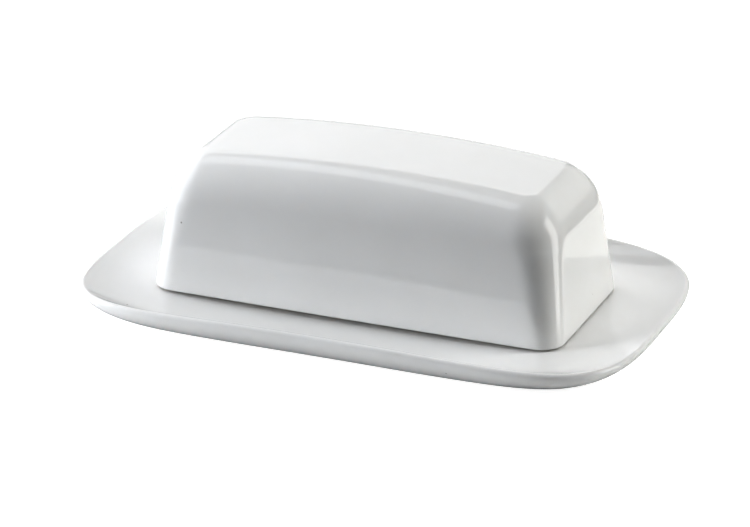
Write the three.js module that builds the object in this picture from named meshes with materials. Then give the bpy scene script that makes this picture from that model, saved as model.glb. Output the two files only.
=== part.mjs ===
// A covered butter dish in glazed white porcelain: a tray and the hollow lid that stands on it.
// Millimetres. The origin is in the middle of the table plane under the dish, +X runs along the
// dish and +Z points up.
import * as THREE from 'three';

// ---------------------------------------------------------------- driving dimensions: dish

const dishHalfLength = 100;
const dishHalfWidth = 61.5;
// The outline is |x / halfLength| ^ lengthPower + |y / halfWidth| ^ widthPower = 1:
// nearly straight long sides, bulging ends and large soft corners.
const lengthPower = 5.6;
const widthPower = 3.55;
const dishSteps = 72;

const rimHeight = 11.9;
const rimEndDrop = 3.4;
const lipRadius = 1.3;

// The outside wall draws in below the lip, slowly at first and then faster.
const wallDrawIn = 10.8;
const wallPower = 1.95;
const wallEndHeight = 1.3;

const footTopInset = 10.4;
const footOuterInset = 10.9;
const footInnerInset = 14.4;
const footRootInset = 15.6;
const undersideHeight = 1.8;

const wellHeight = 6.3;
const wellSlopeAtSides = 12;
const wellSlopeAtEnds = 19;
const wellSlopePower = 2.2;

// --------------------------------------------------------------- driving dimensions: cover

const coverHalfLength = 74;
const coverHalfWidth = 32.9;
const coverHeightAtEnds = 45.3;
const coverArch = 4.9;
const coverCrown = 0.5;
const coverSideBow = 0.013;
const coverSideLean = THREE.MathUtils.degToRad(3.5);
const coverEndLean = THREE.MathUtils.degToRad(6);
const coverCornerAtFoot = 8.5;
const coverCornerAtTop = 14;
const coverSideRound = 14.5;
const coverEndRound = 11.5;
const coverWall = 4;
const coverEdgeRound = 0.9;
const coverGap = 0.3;
const smallestCorner = 3;

// ------------------------------------------------------------------------------- surfaces

// Joins closed rings of equal length into one closed body. The first and the last entry are
// single points, and the rings run anticlockwise seen from above.
function loft(startPoint, rings, endPoint) {
  const steps = rings[0].length;
  const positions = [startPoint, ...rings.flat(), endPoint].flatMap((p) => [p.x, p.y, p.z]);
  const indices = [];
  for (let i = 0; i < steps; i += 1) {
    const j = (i + 1) % steps;
    indices.push(0, 1 + j, 1 + i);
    for (let ring = 0; ring < rings.length - 1; ring += 1) {
      const low = 1 + ring * steps;
      const high = low + steps;
      indices.push(low + i, low + j, high + j);
      indices.push(low + i, high + j, high + i);
    }
    const last = 1 + (rings.length - 1) * steps;
    indices.push(last + i, last + j, last + steps);
  }
  const geometry = new THREE.BufferGeometry();
  geometry.setAttribute('position', new THREE.Float32BufferAttribute(positions, 3));
  geometry.setIndex(indices);
  geometry.computeVertexNormals();
  return geometry;
}

// Numbers from 0 to 1 in equal steps, both ends included.
function fractions(steps) {
  return Array.from({ length: steps + 1 }, (_, k) => k / steps);
}

function signedPower(value, power) {
  return Math.sign(value) * Math.abs(value) ** power;
}

class SuperellipseCurve extends THREE.Curve {
  getPoint(t, target = new THREE.Vector2()) {
    const angle = 2 * Math.PI * t;
    return target.set(
      dishHalfLength * signedPower(Math.cos(angle), 2 / lengthPower),
      dishHalfWidth * signedPower(Math.sin(angle), 2 / widthPower),
    );
  }
}

// --------------------------------------------------------------------------- sub-part: dish

// The dish's outline in evenly spaced points, as shares u and v of the half-length and the
// half-width. The reach says how far a point's own normal runs along the line to the middle, so
// that an inset divided by it is the same thickness all the way round.
function dishOutline() {
  const curve = new SuperellipseCurve();
  curve.arcLengthDivisions = 4000;
  return curve.getSpacedPoints(dishSteps).slice(0, dishSteps).map((point) => {
    const u = point.x / dishHalfLength;
    const v = point.y / dishHalfWidth;
    const normal = new THREE.Vector2(
      (lengthPower / dishHalfLength) * signedPower(u, lengthPower - 1),
      (widthPower / dishHalfWidth) * signedPower(v, widthPower - 1),
    ).normalize();
    return { u, v, reach: u * normal.x + v * normal.y };
  });
}

// A ring of the dish: its outline drawn in by an even inset, and then by a further inset along
// the length and one across the width, at a height that may change with x.
function dishRing(outline, inset, heightAt, lengthInset = 0, widthInset = 0) {
  return outline.map(({ u, v, reach }) => {
    const x = u * (dishHalfLength - inset / reach - lengthInset);
    const y = v * (dishHalfWidth - inset / reach - widthInset);
    return new THREE.Vector3(x, y, heightAt(x));
  });
}

// The rim is highest in the middle of the long sides and sinks towards the two ends.
function sunkTowardsEnds(height) {
  return (x) => height - rimEndDrop * (height / rimHeight) * (x / dishHalfLength) ** 2;
}

function dishGeometry() {
  const outline = dishOutline();
  const level = (height) => () => height;
  const lipSideHeight = rimHeight - lipRadius;

  const foot = [
    dishRing(outline, footRootInset, level(undersideHeight)),
    dishRing(outline, footInnerInset, level(0)),
    dishRing(outline, footOuterInset, level(0)),
    dishRing(outline, footTopInset, level(wallEndHeight)),
  ];
  const wallStart = 1 - wallEndHeight / lipSideHeight;
  const wall = fractions(6).map((k) => {
    const depth = wallStart * (1 - k);
    return dishRing(outline, wallDrawIn * depth ** wallPower, sunkTowardsEnds(lipSideHeight * (1 - depth)));
  });
  const lip = fractions(6).slice(1).map((k) => {
    const angle = Math.PI * k;
    const inset = lipRadius * (1 - Math.cos(angle));
    return dishRing(outline, inset, sunkTowardsEnds(lipSideHeight + lipRadius * Math.sin(angle)));
  });
  const slope = fractions(6).slice(1).map((k) => {
    const edge = sunkTowardsEnds(lipSideHeight);
    const heightAt = (x) => wellHeight + (edge(x) - wellHeight) * (1 - k) ** wellSlopePower;
    return dishRing(outline, 2 * lipRadius, heightAt, wellSlopeAtEnds * k, wellSlopeAtSides * k);
  });

  const underside = new THREE.Vector3(0, 0, undersideHeight);
  const wellFloor = new THREE.Vector3(0, 0, wellHeight);
  return loft(underside, [...foot, ...wall, ...lip, ...slope], wellFloor);
}

// -------------------------------------------------------------------------- sub-part: cover

// A rectangle with round corners and long sides that bow out slightly.
function coverOutline(halfLength, halfWidth, cornerRadius) {
  const cornerSteps = 6;
  const sideSteps = [9, 4];
  const points = [];
  for (let corner = 0; corner < 4; corner += 1) {
    const signX = corner === 0 || corner === 3 ? 1 : -1;
    const signY = corner < 2 ? 1 : -1;
    const centre = new THREE.Vector2(
      signX * (halfLength - cornerRadius),
      signY * (halfWidth - cornerRadius),
    );
    const arc = fractions(cornerSteps).map((k) => {
      const angle = (corner + k) * (Math.PI / 2);
      return new THREE.Vector2(Math.cos(angle), Math.sin(angle)).multiplyScalar(cornerRadius).add(centre);
    });
    const nextCentre = corner % 2 === 0
      ? new THREE.Vector2(-centre.x, centre.y)
      : new THREE.Vector2(centre.x, -centre.y);
    const arcEnd = arc[cornerSteps];
    const nextArcStart = arcEnd.clone().sub(centre).add(nextCentre);
    const steps = sideSteps[corner % 2];
    const side = fractions(steps).slice(1, steps).map((k) => arcEnd.clone().lerp(nextArcStart, k));
    points.push(...arc, ...side);
  }
  for (const point of points) {
    point.y *= 1 - coverSideBow * (point.x / halfLength) ** 2;
  }
  return points;
}

// One skin of the cover, from its lower edge to the top: the outer skin has no inset, and the
// inner skin is drawn in by the wall's thickness.
function coverSkin(inset) {
  const halfLength = coverHalfLength - inset;
  const halfWidth = coverHalfWidth - inset;
  const height = coverHeightAtEnds - inset;
  const sideRound = coverSideRound - inset;
  const endRound = coverEndRound - inset;
  const wallHeight = height - sideRound;
  const sideSlope = Math.tan(coverSideLean);
  const endSlope = Math.tan(coverEndLean);
  const archAt = (x) => coverArch * (1 - (x / halfLength) ** 2);

  const ring = (z, sideInset, endInset, corner) => {
    const radius = Math.max(corner - inset, smallestCorner);
    const outline = coverOutline(halfLength - endInset, halfWidth - sideInset, radius);
    return outline.map((p) => new THREE.Vector3(p.x, p.y, z + archAt(p.x) * (z / height)));
  };

  const wall = fractions(3).map((k) => {
    const z = coverEdgeRound + (wallHeight - coverEdgeRound) * k;
    const corner = coverCornerAtFoot + (coverCornerAtTop - coverCornerAtFoot) * (z / height);
    return ring(z, z * sideSlope, z * endSlope, corner);
  });
  const round = fractions(6).slice(1).map((k) => {
    const turn = 1 - Math.cos(k * (Math.PI / 2));
    const z = wallHeight + sideRound * Math.sin(k * (Math.PI / 2));
    const drawn = (wallHeight + z) / 2;
    const corner = coverCornerAtTop - 0.7 * coverSideRound * turn;
    return ring(z, drawn * sideSlope + sideRound * turn, drawn * endSlope + endRound * turn, corner);
  });
  const topEdge = round[round.length - 1];
  const top = [0.8, 0.5, 0.2].map((scale) => topEdge.map((p) => {
    const x = p.x * scale;
    return new THREE.Vector3(x, p.y * scale, height + archAt(x) + coverCrown * (1 - scale ** 2));
  }));
  const peak = new THREE.Vector3(0, 0, height + coverArch + coverCrown);
  return { rings: [...wall, ...round, ...top], peak };
}

function coverGeometry() {
  const outer = coverSkin(0);
  const inner = coverSkin(coverWall);
  const edgeRing = (inset) => {
    const radius = coverCornerAtFoot - inset;
    const outline = coverOutline(coverHalfLength - inset, coverHalfWidth - inset, radius);
    return outline.map((p) => new THREE.Vector3(p.x, p.y, 0));
  };
  const lowerEdge = [edgeRing(coverWall - coverEdgeRound), edgeRing(coverEdgeRound)];
  return loft(inner.peak, [...inner.rings.reverse(), ...lowerEdge, ...outer.rings], outer.peak);
}

// --------------------------------------------------------------------------------- assembly

function porcelain() {
  return new THREE.MeshStandardMaterial({ color: 0xf3f3ef, roughness: 0.12, metalness: 0 });
}

function subPart(name, geometry) {
  const mesh = new THREE.Mesh(geometry, porcelain());
  mesh.name = name;
  return mesh;
}

const dish = subPart('dish', dishGeometry());
const cover = subPart('cover', coverGeometry());
// The lower edge of the cover stands on the floor of the well.
cover.position.z = wellHeight + coverGap;

const butterDish = new THREE.Group();
butterDish.add(dish, cover);

export default butterDish;
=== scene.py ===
"""Looks of the covered butter dish: two pieces of glazed white porcelain on a white board.

Metres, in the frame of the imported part: +X along the dish, +Y to its back and +Z up.
"""

import math

import bpy
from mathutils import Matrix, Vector, noise


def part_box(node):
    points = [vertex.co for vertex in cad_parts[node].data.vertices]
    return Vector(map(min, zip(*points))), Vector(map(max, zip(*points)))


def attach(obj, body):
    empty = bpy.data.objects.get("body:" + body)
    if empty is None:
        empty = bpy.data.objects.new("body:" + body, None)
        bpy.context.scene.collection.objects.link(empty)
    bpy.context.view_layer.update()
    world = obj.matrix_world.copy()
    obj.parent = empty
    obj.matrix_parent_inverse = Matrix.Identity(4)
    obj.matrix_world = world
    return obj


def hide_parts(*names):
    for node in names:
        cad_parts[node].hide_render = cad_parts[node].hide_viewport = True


MM = 0.001

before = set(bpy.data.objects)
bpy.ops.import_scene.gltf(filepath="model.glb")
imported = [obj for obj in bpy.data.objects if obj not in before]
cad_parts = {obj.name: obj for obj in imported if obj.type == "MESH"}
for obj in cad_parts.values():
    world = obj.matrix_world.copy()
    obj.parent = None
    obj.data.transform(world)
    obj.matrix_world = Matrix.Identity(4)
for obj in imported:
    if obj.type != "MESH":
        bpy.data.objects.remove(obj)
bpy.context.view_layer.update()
dish_low, dish_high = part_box("dish")
cover_low, cover_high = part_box("cover")

# ------------------------------------------------------------------------------ driving sizes

# The dish's outline is |x / length| ^ LENGTH_POWER + |y / width| ^ WIDTH_POWER = 1.
LENGTH_POWER = 5.6
WIDTH_POWER = 3.55
RIM_END_DROP = 3.4 * MM
LIP_RADIUS = 1.3 * MM
WALL_DRAW_IN = 10.8 * MM
WALL_POWER = 1.95
WALL_END_HEIGHT = 1.3 * MM
FOOT_OUTER_INSET = 10.9 * MM
FOOT_INNER_INSET = 14.4 * MM
FOOT_EDGE_ROUND = 0.35 * MM
# The foot is a little wider where its two sides leave the rounded edges.
FOOT_FLARE = 0.1 * MM
# The inner side of the foot, from the underside down: millimetres from the foot's inner edge,
# and millimetres below the underside.
FOOT_INNER_SIDE = ((2.6, 0.0), (1.5, 0.0), (1.0, 0.2), (0.5, 0.8))
# The outer side of the foot has one bend before it meets the wall. Both places are given by how
# far they lie outside the foot's outer edge.
FOOT_BEND_INSET = 0.4 * MM
FOOT_BEND_HEIGHT = 0.8 * MM
FOOT_TO_WALL_INSET = 1.0 * MM
FOOT_TO_WALL_DROP = 0.05 * MM
UNDERSIDE_HEIGHT = 1.8 * MM
WELL_SLOPE_AT_SIDES = 12 * MM
WELL_SLOPE_AT_ENDS = 19 * MM
WELL_SLOPE_POWER = 2.2
STANDING_GAP = 0.3 * MM
# The floor of the well sagged a little in the kiln, so that the cover stands on its two ends.
WELL_SAG = 1.2 * MM
WELL_SAG_HALF_LENGTH = 82 * MM

COVER_ARCH = 4.9 * MM
COVER_CROWN = 0.5 * MM
COVER_SIDE_BOW = 0.013
COVER_SIDE_LEAN = math.radians(3.5)
COVER_END_LEAN = math.radians(6)
COVER_CORNER_AT_FOOT = 8.5 * MM
COVER_CORNER_AT_TOP = 14 * MM
# How fast a corner's radius shrinks over the rounded top edge, as a share of that edge's round.
COVER_CORNER_CLOSING = 0.7
COVER_SIDE_ROUND = 14.5 * MM
COVER_END_ROUND = 11.5 * MM
COVER_WALL = 4 * MM
COVER_EDGE_ROUND = 0.6 * MM
SMALLEST_CORNER = 3 * MM

# The surfaces of a cast and fired piece are slightly wavy.
WAVE_HEIGHT = 0.05 * MM
DISH_WAVE_LENGTH = 34 * MM
COVER_WAVE_LENGTH = 38 * MM

# Steps of the meshes before they are subdivided: along a long side, along an end, and in each
# half of a corner of the cover.
LONG_STEPS = 44
END_STEPS = 24
HALF_CORNER_STEPS = 5
SUBDIVISIONS = 2

# ------------------------------------------------------------------------------ mesh building


def fractions(steps):
    """Numbers from 0 to 1 in equal steps, both ends included."""
    return [k / steps for k in range(steps + 1)]


def fill_patch(ring, height_at):
    """A grid of points that fills a closed ring, with its height from height_at(x, y).

    The ring starts at the corner right in front and runs anticlockwise: an end, a long side,
    the other end and the other long side. Only the points inside the ring are worked out.
    """
    right = ring[: END_STEPS + 1]
    back = ring[END_STEPS : END_STEPS + LONG_STEPS + 1]
    left = ring[END_STEPS + LONG_STEPS : 2 * END_STEPS + LONG_STEPS + 1][::-1]
    front = (ring[2 * END_STEPS + LONG_STEPS :] + ring[:1])[::-1]
    rows = []
    for i in range(1, END_STEPS):
        s = i / END_STEPS
        row = []
        for j in range(1, LONG_STEPS):
            t = j / LONG_STEPS
            across = right[i].lerp(left[i], t)
            along = front[j].lerp(back[j], s)
            corners = front[0].lerp(front[-1], t).lerp(back[0].lerp(back[-1], t), s)
            point = across + along - corners
            row.append(Vector((point.x, point.y, height_at(point.x, point.y))))
        rows.append(row)
    return rows


def patch_faces(ring_start, inner_start, facing_up):
    """Quads that join a ring to the grid of points inside it."""
    count = 2 * (LONG_STEPS + END_STEPS)

    def index(i, j):
        if j == 0:
            return ring_start + i
        if i == END_STEPS:
            return ring_start + END_STEPS + j
        if j == LONG_STEPS:
            return ring_start + END_STEPS + LONG_STEPS + (END_STEPS - i)
        if i == 0:
            return ring_start + (count - j) % count
        return inner_start + (i - 1) * (LONG_STEPS - 1) + (j - 1)

    faces = []
    for i in range(END_STEPS):
        for j in range(LONG_STEPS):
            face = [index(i, j), index(i + 1, j), index(i + 1, j + 1), index(i, j + 1)]
            faces.append(face if facing_up else face[::-1])
    return faces


def loft(name, rings, start_height, end_height, bare_bands):
    """A closed body through the rings, with a patch over the first and the last of them.

    Each ring has the same number of points, anticlockwise seen from above. bare_bands holds the
    bands between rings that carry no glaze, by the number of their first ring.
    """
    count = len(rings[0])
    verts = [point for ring in rings for point in ring]
    faces = []
    slots = []
    for k in range(len(rings) - 1):
        for i in range(count):
            j = (i + 1) % count
            low = k * count
            high = low + count
            faces.append([low + i, low + j, high + j, high + i])
            slots.append(1 if k in bare_bands else 0)
    for ring_number, height_at, facing_up in (
        (0, start_height, False),
        (len(rings) - 1, end_height, True),
    ):
        inner_start = len(verts)
        for row in fill_patch(rings[ring_number], height_at):
            verts.extend(row)
        patch = patch_faces(ring_number * count, inner_start, facing_up)
        faces.extend(patch)
        slots.extend([0] * len(patch))
    mesh = bpy.data.meshes.new(name)
    mesh.from_pydata([tuple(v) for v in verts], [], faces)
    mesh.polygons.foreach_set("use_smooth", [True] * len(faces))
    mesh.polygons.foreach_set("material_index", slots)
    mesh.update()
    piece = bpy.data.objects.new(name, mesh)
    bpy.context.scene.collection.objects.link(piece)
    return piece


def make_uneven(piece, amplitude, wave_length, seed):
    """Gives a surface the slight waves of a cast and fired piece."""
    offset = Vector((seed * 0.37, seed * 0.71, seed * 0.13))
    mesh = piece.data
    normals = [v.normal.copy() for v in mesh.vertices]
    for vertex, normal in zip(mesh.vertices, normals):
        wave = noise.noise(vertex.co / wave_length + offset)
        vertex.co += normal * (wave * amplitude)
    mesh.update()


def subdivide(piece, levels):
    """Adds a smooth subdivision surface."""
    modifier = piece.modifiers.new("smooth", "SUBSURF")
    modifier.levels = levels
    modifier.render_levels = levels


# --------------------------------------------------------------------------------------- dish


def signed_power(value, power):
    return math.copysign(abs(value) ** power, value)


def dish_outline():
    """Points of the dish's outline, as (u, v, normal x, normal y).

    u and v are shares of the half-length and the half-width. The points are evenly spaced along
    each end and each long side.
    """
    dense_steps = 600
    points = []
    for side, steps in enumerate((END_STEPS, LONG_STEPS, END_STEPS, LONG_STEPS)):
        dense = []
        for k in fractions(dense_steps):
            angle = (side + k) * math.pi / 2 - math.pi / 4
            u = signed_power(math.cos(angle), 2 / LENGTH_POWER)
            v = signed_power(math.sin(angle), 2 / WIDTH_POWER)
            dense.append(Vector((u * dish_high.x, v * dish_high.y)))
        lengths = [0.0]
        for a, b in zip(dense, dense[1:]):
            lengths.append(lengths[-1] + (b - a).length)
        nearest = 0
        for step in range(steps):
            wanted = lengths[-1] * step / steps
            while lengths[nearest + 1] < wanted:
                nearest += 1
            share = (wanted - lengths[nearest]) / (lengths[nearest + 1] - lengths[nearest])
            points.append(dense[nearest].lerp(dense[nearest + 1], share))
    outline = []
    for point in points:
        u = point.x / dish_high.x
        v = point.y / dish_high.y
        normal = Vector((
            LENGTH_POWER / dish_high.x * signed_power(u, LENGTH_POWER - 1),
            WIDTH_POWER / dish_high.y * signed_power(v, WIDTH_POWER - 1),
        )).normalized()
        outline.append((u, v, normal.x, normal.y))
    return outline


def sunk(height, x):
    """The height of a point of the rim or wall: the rim sinks towards the two ends."""
    return height - RIM_END_DROP * (height / dish_high.z) * (x / dish_high.x) ** 2


def dish_ring(outline, inset, height):
    """A ring at an even inset from the outline, on the sinking wall."""
    ring = []
    for u, v, nx, ny in outline:
        reach = u * nx + v * ny
        x = u * (dish_high.x - inset / reach)
        y = v * (dish_high.y - inset / reach)
        ring.append(Vector((x, y, sunk(height, x))))
    return ring


def flat_ring(outline, inset, height):
    """A ring at an even inset from the outline, at one height."""
    return [Vector((p.x, p.y, height)) for p in dish_ring(outline, inset, height)]


def well_floor(x):
    """The height of the floor of the well."""
    sag = max(0.0, 1 - (x / WELL_SAG_HALF_LENGTH) ** 4) ** 2
    return cover_low.z - STANDING_GAP - WELL_SAG * sag


def lip_and_well_rings(outline):
    """Rings over the lip and down the inner slope to the floor of the well.

    The lip's arc and the slope meet at the same steepness, which depends on how far the slope
    drops from there. A few rounds settle the two.
    """
    arc_steps = 10
    slope_steps = 14
    settling_rounds = 8
    rings = [[] for _ in range(arc_steps + slope_steps)]
    for u, v, nx, ny in outline:
        reach = u * nx + v * ny
        slope_width = u * nx * WELL_SLOPE_AT_ENDS + v * ny * WELL_SLOPE_AT_SIDES
        top = sunk(dish_high.z, u * dish_high.x)
        floor = well_floor(u * (dish_high.x - 2 * LIP_RADIUS / reach - WELL_SLOPE_AT_ENDS))
        steepness = 0.0
        for _ in range(settling_rounds):
            start_height = top - LIP_RADIUS + LIP_RADIUS * math.cos(steepness)
            drop = start_height - floor
            steepness = math.atan(WELL_SLOPE_POWER * drop / slope_width)
        for k in range(arc_steps):
            turn = (math.pi / 2 + steepness) * (k + 1) / arc_steps
            inset = LIP_RADIUS * (1 - math.cos(turn)) / reach
            height = top - LIP_RADIUS + LIP_RADIUS * math.sin(turn)
            rings[k].append(Vector((
                u * (dish_high.x - inset), v * (dish_high.y - inset), height)))
        for k in range(slope_steps):
            share = (k + 1) / slope_steps
            rings[arc_steps + k].append(Vector((
                u * (dish_high.x - inset - WELL_SLOPE_AT_ENDS * share),
                v * (dish_high.y - inset - WELL_SLOPE_AT_SIDES * share),
                floor + drop * (1 - share) ** WELL_SLOPE_POWER)))
    return rings


def foot_rings(outline):
    """Rings from the underside down the foot, across its bare face and up to the wall."""
    edge = FOOT_EDGE_ROUND
    inner_side = [
        flat_ring(outline, FOOT_INNER_INSET + inward * MM, UNDERSIDE_HEIGHT - down * MM)
        for inward, down in FOOT_INNER_SIDE
    ]
    face = [
        flat_ring(outline, FOOT_INNER_INSET + FOOT_FLARE, edge),
        flat_ring(outline, FOOT_INNER_INSET - edge, 0.0),
        flat_ring(outline, (FOOT_INNER_INSET + FOOT_OUTER_INSET) / 2, 0.0),
        flat_ring(outline, FOOT_OUTER_INSET + edge, 0.0),
        flat_ring(outline, FOOT_OUTER_INSET - FOOT_FLARE, edge),
    ]
    outer_side = [
        flat_ring(outline, FOOT_OUTER_INSET - FOOT_BEND_INSET, FOOT_BEND_HEIGHT),
        dish_ring(
            outline, FOOT_OUTER_INSET - FOOT_TO_WALL_INSET, WALL_END_HEIGHT - FOOT_TO_WALL_DROP),
    ]
    return inner_side + face + outer_side


def wall_rings(outline):
    """Rings up the outside wall, which draws in below the lip."""
    wall_steps = 14
    side_height = dish_high.z - LIP_RADIUS
    wall_start = 1 - WALL_END_HEIGHT / side_height
    rings = []
    for k in fractions(wall_steps):
        depth = wall_start * (1 - k)
        inset = WALL_DRAW_IN * depth**WALL_POWER
        rings.append(dish_ring(outline, inset, side_height * (1 - depth)))
    return rings


def make_dish():
    outline = dish_outline()
    rings = foot_rings(outline) + wall_rings(outline) + lip_and_well_rings(outline)
    first_bare = len(FOOT_INNER_SIDE)
    bare_bands = set(range(first_bare, first_bare + 4))
    piece = loft(
        "dish_porcelain",
        rings,
        lambda x, y: UNDERSIDE_HEIGHT,
        lambda x, y: well_floor(x),
        bare_bands,
    )
    make_uneven(piece, WAVE_HEIGHT, DISH_WAVE_LENGTH, seed=3)
    subdivide(piece, SUBDIVISIONS)
    return piece


# -------------------------------------------------------------------------------------- cover


def cover_outline(half_length, half_width, radius):
    """A rectangle with round corners and long sides that bow out slightly.

    It starts in the middle of the corner right in front and runs anticlockwise.
    """
    corner_signs = ((1, -1), (1, 1), (-1, 1), (-1, -1))
    centres = [
        Vector((sign_x * (half_length - radius), sign_y * (half_width - radius)))
        for sign_x, sign_y in corner_signs
    ]

    def on_arc(middle, angle):
        return middle + Vector((math.cos(angle), math.sin(angle))) * radius

    points = []
    for side, steps in enumerate((END_STEPS, LONG_STEPS, END_STEPS, LONG_STEPS)):
        straight_steps = steps - 2 * HALF_CORNER_STEPS
        centre = centres[side]
        next_centre = centres[(side + 1) % 4]
        facing = side * math.pi / 2
        straight_start = on_arc(centre, facing)
        straight_end = on_arc(next_centre, facing)
        for k in range(HALF_CORNER_STEPS):
            points.append(on_arc(centre, facing - math.pi / 4 * (1 - k / HALF_CORNER_STEPS)))
        for k in range(straight_steps + 1):
            points.append(straight_start.lerp(straight_end, k / straight_steps))
        for k in range(1, HALF_CORNER_STEPS):
            points.append(on_arc(next_centre, facing + math.pi / 4 * k / HALF_CORNER_STEPS))
    for point in points:
        point.y *= 1 - COVER_SIDE_BOW * (point.x / half_length) ** 2
    return points


def cover_skin(inset):
    """The rings of one skin of the cover from its edge to its top, and the height of its top."""
    half_length = cover_high.x - inset
    half_width = cover_high.y - inset
    height = cover_high.z - cover_low.z - COVER_ARCH - COVER_CROWN - inset
    side_round = COVER_SIDE_ROUND - inset
    end_round = COVER_END_ROUND - inset
    wall_height = height - side_round
    side_slope = math.tan(COVER_SIDE_LEAN)
    end_slope = math.tan(COVER_END_LEAN)

    def arch(x):
        return COVER_ARCH * (1 - (x / half_length) ** 2)

    def ring(z, side_inset, end_inset, corner):
        radius = max(corner - inset, SMALLEST_CORNER)
        outline = cover_outline(half_length - end_inset, half_width - side_inset, radius)
        return [
            Vector((p.x, p.y, cover_low.z + z + arch(p.x) * z / height))
            for p in outline
        ]

    rings = []
    wall_steps = 10
    for k in fractions(wall_steps):
        z = COVER_EDGE_ROUND + (wall_height - COVER_EDGE_ROUND) * k
        corner = COVER_CORNER_AT_FOOT + (COVER_CORNER_AT_TOP - COVER_CORNER_AT_FOOT) * z / height
        rings.append(ring(z, z * side_slope, z * end_slope, corner))
    round_steps = 12
    # The round stops just short of level, and the crowned top takes over from there.
    last_turn = math.radians(87)
    for k in fractions(round_steps)[1:]:
        turn = 1 - math.cos(last_turn * k)
        z = wall_height + side_round * math.sin(last_turn * k)
        drawn = (wall_height + z) / 2
        side_inset = drawn * side_slope + side_round * turn
        end_inset = drawn * end_slope + end_round * turn
        corner = COVER_CORNER_AT_TOP - COVER_CORNER_CLOSING * COVER_SIDE_ROUND * turn
        rings.append(ring(z, side_inset, end_inset, corner))
    edge_x = max(p.x for p in rings[-1])
    edge_y = max(p.y for p in rings[-1])
    edge_height = z

    def top_height(x, y):
        crown = COVER_CROWN * (1 - (x / edge_x) ** 2) * (1 - (y / edge_y) ** 2)
        return cover_low.z + edge_height + arch(x) * edge_height / height + crown

    return rings, top_height


def make_cover():
    outer_rings, outer_top = cover_skin(0)
    inner_rings, inner_top = cover_skin(COVER_WALL)

    def edge_ring(inset, height):
        outline = cover_outline(
            cover_high.x - inset, cover_high.y - inset, COVER_CORNER_AT_FOOT - inset)
        return [Vector((p.x, p.y, cover_low.z + height)) for p in outline]

    # The middle of the lower edge's round, a little inside its corner.
    half_round = 0.3 * COVER_EDGE_ROUND
    edge = [
        edge_ring(COVER_WALL - half_round, half_round),
        edge_ring(COVER_WALL - COVER_EDGE_ROUND, 0.0),
        edge_ring(COVER_WALL / 2, 0.0),
        edge_ring(COVER_EDGE_ROUND, 0.0),
        edge_ring(half_round, half_round),
    ]
    rings = inner_rings[::-1] + edge + outer_rings
    first_edge = len(inner_rings)
    bare_bands = set(range(first_edge, first_edge + 3))
    piece = loft("cover_porcelain", rings, inner_top, outer_top, bare_bands)
    make_uneven(piece, WAVE_HEIGHT, COVER_WAVE_LENGTH, seed=11)
    subdivide(piece, SUBDIVISIONS)
    return piece


# ----------------------------------------------------------------------------------- materials


def new_material(name):
    material = bpy.data.materials.new(name)
    material.use_nodes = True
    tree = material.node_tree
    tree.nodes.clear()
    shader = tree.nodes.new("ShaderNodeBsdfPrincipled")
    output = tree.nodes.new("ShaderNodeOutputMaterial")
    tree.links.new(shader.outputs["BSDF"], output.inputs["Surface"])
    return material, tree, shader


def noise_field(tree, place, scale, detail):
    """Noise of a scale given in waves per metre."""
    field = tree.nodes.new("ShaderNodeTexNoise")
    field.inputs["Scale"].default_value = scale
    field.inputs["Detail"].default_value = detail
    tree.links.new(place, field.inputs["Vector"])
    return field.outputs["Fac"]


def spread(tree, value, low, high, from_low=0.3, from_high=0.7):
    """Maps a value from one range to another. A noise seldom leaves the middle of 0 to 1."""
    node = tree.nodes.new("ShaderNodeMapRange")
    node.inputs["From Min"].default_value = from_low
    node.inputs["From Max"].default_value = from_high
    node.inputs["To Min"].default_value = low
    node.inputs["To Max"].default_value = high
    tree.links.new(value, node.inputs["Value"])
    return node.outputs["Result"]


def mix_colour(tree, share, first, second):
    """Mixes two colours, each given as three numbers or as a socket."""
    node = tree.nodes.new("ShaderNodeMix")
    node.data_type = "RGBA"
    tree.links.new(share, node.inputs["Factor"])
    sockets = [s for s in node.inputs if s.type == "RGBA"]
    for socket, value in zip(sockets, (first, second)):
        if isinstance(value, bpy.types.NodeSocket):
            tree.links.new(value, socket)
        else:
            socket.default_value = (*value, 1)
    return [s for s in node.outputs if s.type == "RGBA"][0]


def add_bump(tree, height, distance, normal=None):
    """A bump as deep as the distance, on top of an earlier normal if one is given."""
    node = tree.nodes.new("ShaderNodeBump")
    node.inputs["Distance"].default_value = distance
    node.inputs["Strength"].default_value = 1.0
    tree.links.new(height, node.inputs["Height"])
    if normal is not None:
        tree.links.new(normal, node.inputs["Normal"])
    return node.outputs["Normal"]


PORCELAIN_DARK = (0.885, 0.885, 0.878)
PORCELAIN_LIGHT = (0.915, 0.915, 0.91)
PINHOLE_COLOUR = (0.42, 0.40, 0.37)
BISCUIT_DARK = (0.62, 0.58, 0.50)
BISCUIT_LIGHT = (0.76, 0.73, 0.67)
GLAZE_IOR = 1.68
# How far light wanders through the body under the glaze.
SCATTER_DEPTH = 2.5 * MM
# The pinholes are strewn one to a cell, and there are this many cells to a metre.
PINHOLE_CELLS = 75


def pinhole_distance(tree, place):
    """The distance to the nearest pinhole, in cells of the pattern that strews them."""
    cells = tree.nodes.new("ShaderNodeTexVoronoi")
    cells.inputs["Scale"].default_value = PINHOLE_CELLS
    tree.links.new(place, cells.inputs["Vector"])
    return cells.outputs["Distance"]


def glaze_bumps(tree, place, pinholes):
    """Slow waves, a fine orange peel and a dip round each pinhole."""
    waves = add_bump(tree, noise_field(tree, place, 55, 1), 0.03 * MM)
    peel = add_bump(tree, noise_field(tree, place, 420, 2), 0.0012 * MM, waves)
    return add_bump(tree, spread(tree, pinholes, 0, 1, 0.01, 0.04), 0.05 * MM, peel)


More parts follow.
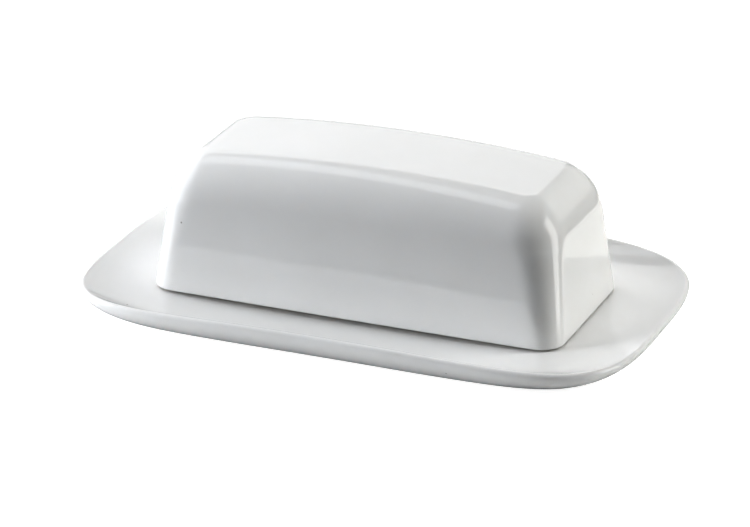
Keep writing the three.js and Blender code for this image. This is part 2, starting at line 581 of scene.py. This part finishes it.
def glaze():
    """Clear glaze over white porcelain: glossy, slightly wavy, with a few pinholes."""
    material, tree, shader = new_material("white_glaze")
    place = tree.nodes.new("ShaderNodeTexCoord").outputs["Object"]
    pinholes = pinhole_distance(tree, place)

    clouds = spread(tree, noise_field(tree, place, 28, 3), 0, 1)
    body = mix_colour(tree, clouds, PORCELAIN_DARK, PORCELAIN_LIGHT)
    speck = spread(tree, pinholes, 1, 0, 0.012, 0.03)
    specked_body = mix_colour(tree, speck, body, PINHOLE_COLOUR)
    tree.links.new(specked_body, shader.inputs["Base Color"])

    rough = spread(tree, noise_field(tree, place, 60, 4), 0.02, 0.05)
    tree.links.new(rough, shader.inputs["Roughness"])
    shader.inputs["IOR"].default_value = GLAZE_IOR
    shader.inputs["Subsurface Weight"].default_value = 0.1
    shader.inputs["Subsurface Radius"].default_value = (1.0, 0.92, 0.84)
    shader.inputs["Subsurface Scale"].default_value = SCATTER_DEPTH
    tree.links.new(glaze_bumps(tree, place, pinholes), shader.inputs["Normal"])
    return material


def biscuit():
    """Bare fired porcelain on the faces that stand on something."""
    material, tree, shader = new_material("bare_porcelain")
    place = tree.nodes.new("ShaderNodeTexCoord").outputs["Object"]
    clouds = spread(tree, noise_field(tree, place, 160, 5), 0, 1)
    body = mix_colour(tree, clouds, BISCUIT_DARK, BISCUIT_LIGHT)
    tree.links.new(body, shader.inputs["Base Color"])
    rough = spread(tree, noise_field(tree, place, 700, 3), 0.55, 0.75)
    tree.links.new(rough, shader.inputs["Roughness"])
    grain = add_bump(tree, noise_field(tree, place, 2600, 3), 0.02 * MM)
    tree.links.new(grain, shader.inputs["Normal"])
    return material


# ------------------------------------------------------------------------ stage, light, camera


def white_surface(name, white, glow):
    """A plain matt surface of one grey or white. A glow keeps it pale where little light falls."""
    material, tree, shader = new_material(name)
    place = tree.nodes.new("ShaderNodeTexCoord").outputs["Object"]
    shader.inputs["Roughness"].default_value = 0.9
    clouds = spread(tree, noise_field(tree, place, 12, 2), 0, 1)
    paper = mix_colour(tree, clouds, (white,) * 3, (white * 0.99,) * 3)
    tree.links.new(paper, shader.inputs["Base Color"])
    shader.inputs["Emission Color"].default_value = (1, 1, 1, 1)
    shader.inputs["Emission Strength"].default_value = glow
    return material


def rectangle(low, high, height):
    """The four corners of a level rectangle."""
    return [
        (low[0], low[1], height),
        (high[0], low[1], height),
        (high[0], high[1], height),
        (low[0], high[1], height),
    ]


def add_to_stage(name, verts, faces, material):
    mesh = bpy.data.meshes.new(name)
    mesh.from_pydata(verts, [], faces)
    mesh.materials.append(material)
    obj = bpy.data.objects.new(name, mesh)
    bpy.context.scene.collection.objects.link(obj)
    return obj


ROOM_HALF_SIZE = 4.0
ROOM_HEIGHT = 4.0
FLOOR_DROP = 0.05 * MM
# The dish stands on a white board not much larger than itself, and the softboxes reach below it.
BOARD_LOW = (-0.118, -0.105)
BOARD_HIGH = (0.118, 0.08)
BOARD_DROP = 0.3 * MM


def hide_from_all_but_camera(obj):
    obj.visible_diffuse = False
    obj.visible_glossy = False
    obj.visible_shadow = False


def hide_from_camera(obj):
    obj.visible_camera = False


def make_room():
    """The floor and the four walls of the studio, as the camera sees them."""
    far = ROOM_HALF_SIZE
    floor = rectangle((-far, -far), (far, far), -FLOOR_DROP)
    ceiling = rectangle((-far, -far), (far, far), ROOM_HEIGHT)
    walls = [(i, (i + 1) % 4, (i + 1) % 4 + 4, i + 4) for i in range(4)]
    room_white = white_surface("room_white", 0.3, 0.93)
    room = add_to_stage("room", floor + ceiling, [(0, 1, 2, 3)] + walls, room_white)
    hide_from_all_but_camera(room)


def make_board():
    """The board under the dish, as light and glaze see it."""
    board_white = white_surface("board_white", 0.85, 0)
    corners = rectangle(BOARD_LOW, BOARD_HIGH, -BOARD_DROP)
    board = add_to_stage("board", corners, [(0, 1, 2, 3)], board_white)
    hide_from_camera(board)


def direction(azimuth, elevation):
    """Unit vector to a compass place: azimuth 0 is the front, 90 the right, 180 the back."""
    az = math.radians(azimuth)
    el = math.radians(elevation)
    return Vector((math.sin(az) * math.cos(el), -math.cos(az) * math.cos(el), math.sin(el)))


def aim(obj, location, target):
    obj.location = location
    obj.rotation_euler = (Vector(target) - Vector(location)).to_track_quat("-Z", "Y").to_euler()


NEUTRAL = (1, 1, 1)
COOL = (0.97, 0.98, 1)
COOLER = (0.95, 0.97, 1)
WARM = (1, 1, 0.98)
WARMER = (1, 1, 0.97)
SKY = (0.93, 0.97, 1, 1)
SKY_BRIGHTNESS = 0.02

# Softboxes: name, azimuth, elevation, distance, width, height, brightness, soft edge, colour.
# The soft edge is the share of the half-width over which a box fades out.
SOFTBOXES = (
    ("back_left", 214, 24, 1.6, 1.6, 1.0, 1.05, 0.1, NEUTRAL),
    ("back_right", 166, 20, 1.8, 1.3, 1.1, 0.5, 0.2, WARM),
    ("back_low", 205, -14, 1.6, 1.6, 1.1, 1.1, 0.15, NEUTRAL),
    ("back_right_low", 158, -20, 1.6, 1.1, 0.6, 1.2, 0.2, WARMER),
    ("left", 268, 15, 1.3, 1.5, 1.6, 1.55, 0.1, COOL),
    ("top_left", 247, 67, 1.3, 0.5, 0.9, 1.2, 0.1, COOL),
    ("right", 108, 12, 1.3, 0.55, 1.5, 2.7, 0.1, WARM),
)
# Fill lights that do not show in the glaze, with the same values.
FILL_LIGHTS = (
    ("fill_top", 330, 85, 1.3, 1.1, 0.9, 2.3, 0.5, COOL),
    ("fill_left", 303, 15, 1.3, 0.7, 0.6, 19.0, 0.6, COOLER),
    ("fill_right", 118, 20, 1.3, 0.6, 0.6, 9.0, 0.5, WARMER),
    ("fill_right_top", 105, 60, 1.3, 0.8, 0.6, 2.8, 0.5, WARMER),
)
LIGHT_TARGET = (0, 0, 0.03)


def fade_out(tree, place, soft_edge):
    """The brightness across one side of a softbox, which runs from 0 to 1."""
    centred = tree.nodes.new("ShaderNodeMath")
    centred.operation = "PINGPONG"
    centred.inputs[1].default_value = 0.5
    tree.links.new(place, centred.inputs[0])
    fade = tree.nodes.new("ShaderNodeMapRange")
    fade.interpolation_type = "SMOOTHSTEP"
    fade.inputs["From Max"].default_value = soft_edge / 2
    tree.links.new(centred.outputs["Value"], fade.inputs["Value"])
    return fade.outputs["Result"]


def soften_edges(data, soft_edge):
    """Lets a softbox fade out towards its edges."""
    data.use_nodes = True
    tree = data.node_tree
    place = tree.nodes.new("ShaderNodeNewGeometry").outputs["Parametric"]
    sides = tree.nodes.new("ShaderNodeSeparateXYZ")
    tree.links.new(place, sides.inputs["Vector"])
    brightness = tree.nodes.new("ShaderNodeMath")
    brightness.operation = "MULTIPLY"
    tree.links.new(fade_out(tree, sides.outputs["X"], soft_edge), brightness.inputs[0])
    tree.links.new(fade_out(tree, sides.outputs["Y"], soft_edge), brightness.inputs[1])
    tree.links.new(brightness.outputs["Value"], tree.nodes["Emission"].inputs["Strength"])


def make_softbox(name, azimuth, elevation, distance, width, height, brightness, soft_edge, colour):
    data = bpy.data.lights.new(name, "AREA")
    data.shape = "RECTANGLE"
    data.size = width
    data.size_y = height
    # With this energy, brightness is the radiance of the box's face.
    data.energy = brightness * math.pi * width * height
    data.color = colour
    soften_edges(data, soft_edge)
    light = bpy.data.objects.new(name, data)
    bpy.context.scene.collection.objects.link(light)
    aim(light, direction(azimuth, elevation) * distance, LIGHT_TARGET)
    light.visible_camera = False
    return light


def make_lights():
    for box in SOFTBOXES:
        make_softbox(*box)
    for box in FILL_LIGHTS:
        make_softbox(*box).visible_glossy = False


def make_sky():
    """A faint even light from everywhere else."""
    world = bpy.data.worlds.new("studio")
    world.use_nodes = True
    background = world.node_tree.nodes["Background"]
    background.inputs["Color"].default_value = SKY
    background.inputs["Strength"].default_value = SKY_BRIGHTNESS
    bpy.context.scene.world = world


CAMERA_AZIMUTH = 22.3
CAMERA_ELEVATION = 22.6
CAMERA_DISTANCE = 1.3195
CAMERA_AIM_HEIGHT = 0.030
CAMERA_SHIFT_RIGHT = -0.00328
CAMERA_SHIFT_UP = -0.01425
FOCAL_LENGTH_IN_WIDTHS = 5.2
CONTRAST = 1.35


def make_camera():
    data = bpy.data.cameras.new("camera")
    data.sensor_width = 36
    data.lens = FOCAL_LENGTH_IN_WIDTHS * data.sensor_width
    data.clip_start = 0.01
    data.dof.use_dof = False
    camera = bpy.data.objects.new("camera", data)
    bpy.context.scene.collection.objects.link(camera)
    back = direction(CAMERA_AZIMUTH, CAMERA_ELEVATION)
    right = back.cross(Vector((0, 0, -1))).normalized()
    up = back.cross(right)
    target = Vector((0, 0, CAMERA_AIM_HEIGHT)) + right * CAMERA_SHIFT_RIGHT + up * CAMERA_SHIFT_UP
    aim(camera, target + back * CAMERA_DISTANCE, target)
    bpy.context.scene.camera = camera


# ------------------------------------------------------------------------------------- assembly

white_glaze = glaze()
bare_porcelain = biscuit()

dish = make_dish()
cover = make_cover()
for piece in (dish, cover):
    piece.data.materials.append(white_glaze)
    piece.data.materials.append(bare_porcelain)

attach(dish, "dish")
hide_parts("dish")

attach(cover, "cover")
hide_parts("cover")

make_room()
make_board()
make_lights()
make_sky()
make_camera()
bpy.context.scene.view_settings.view_transform = "Standard"
bpy.context.scene.view_settings.gamma = 1 / CONTRAST
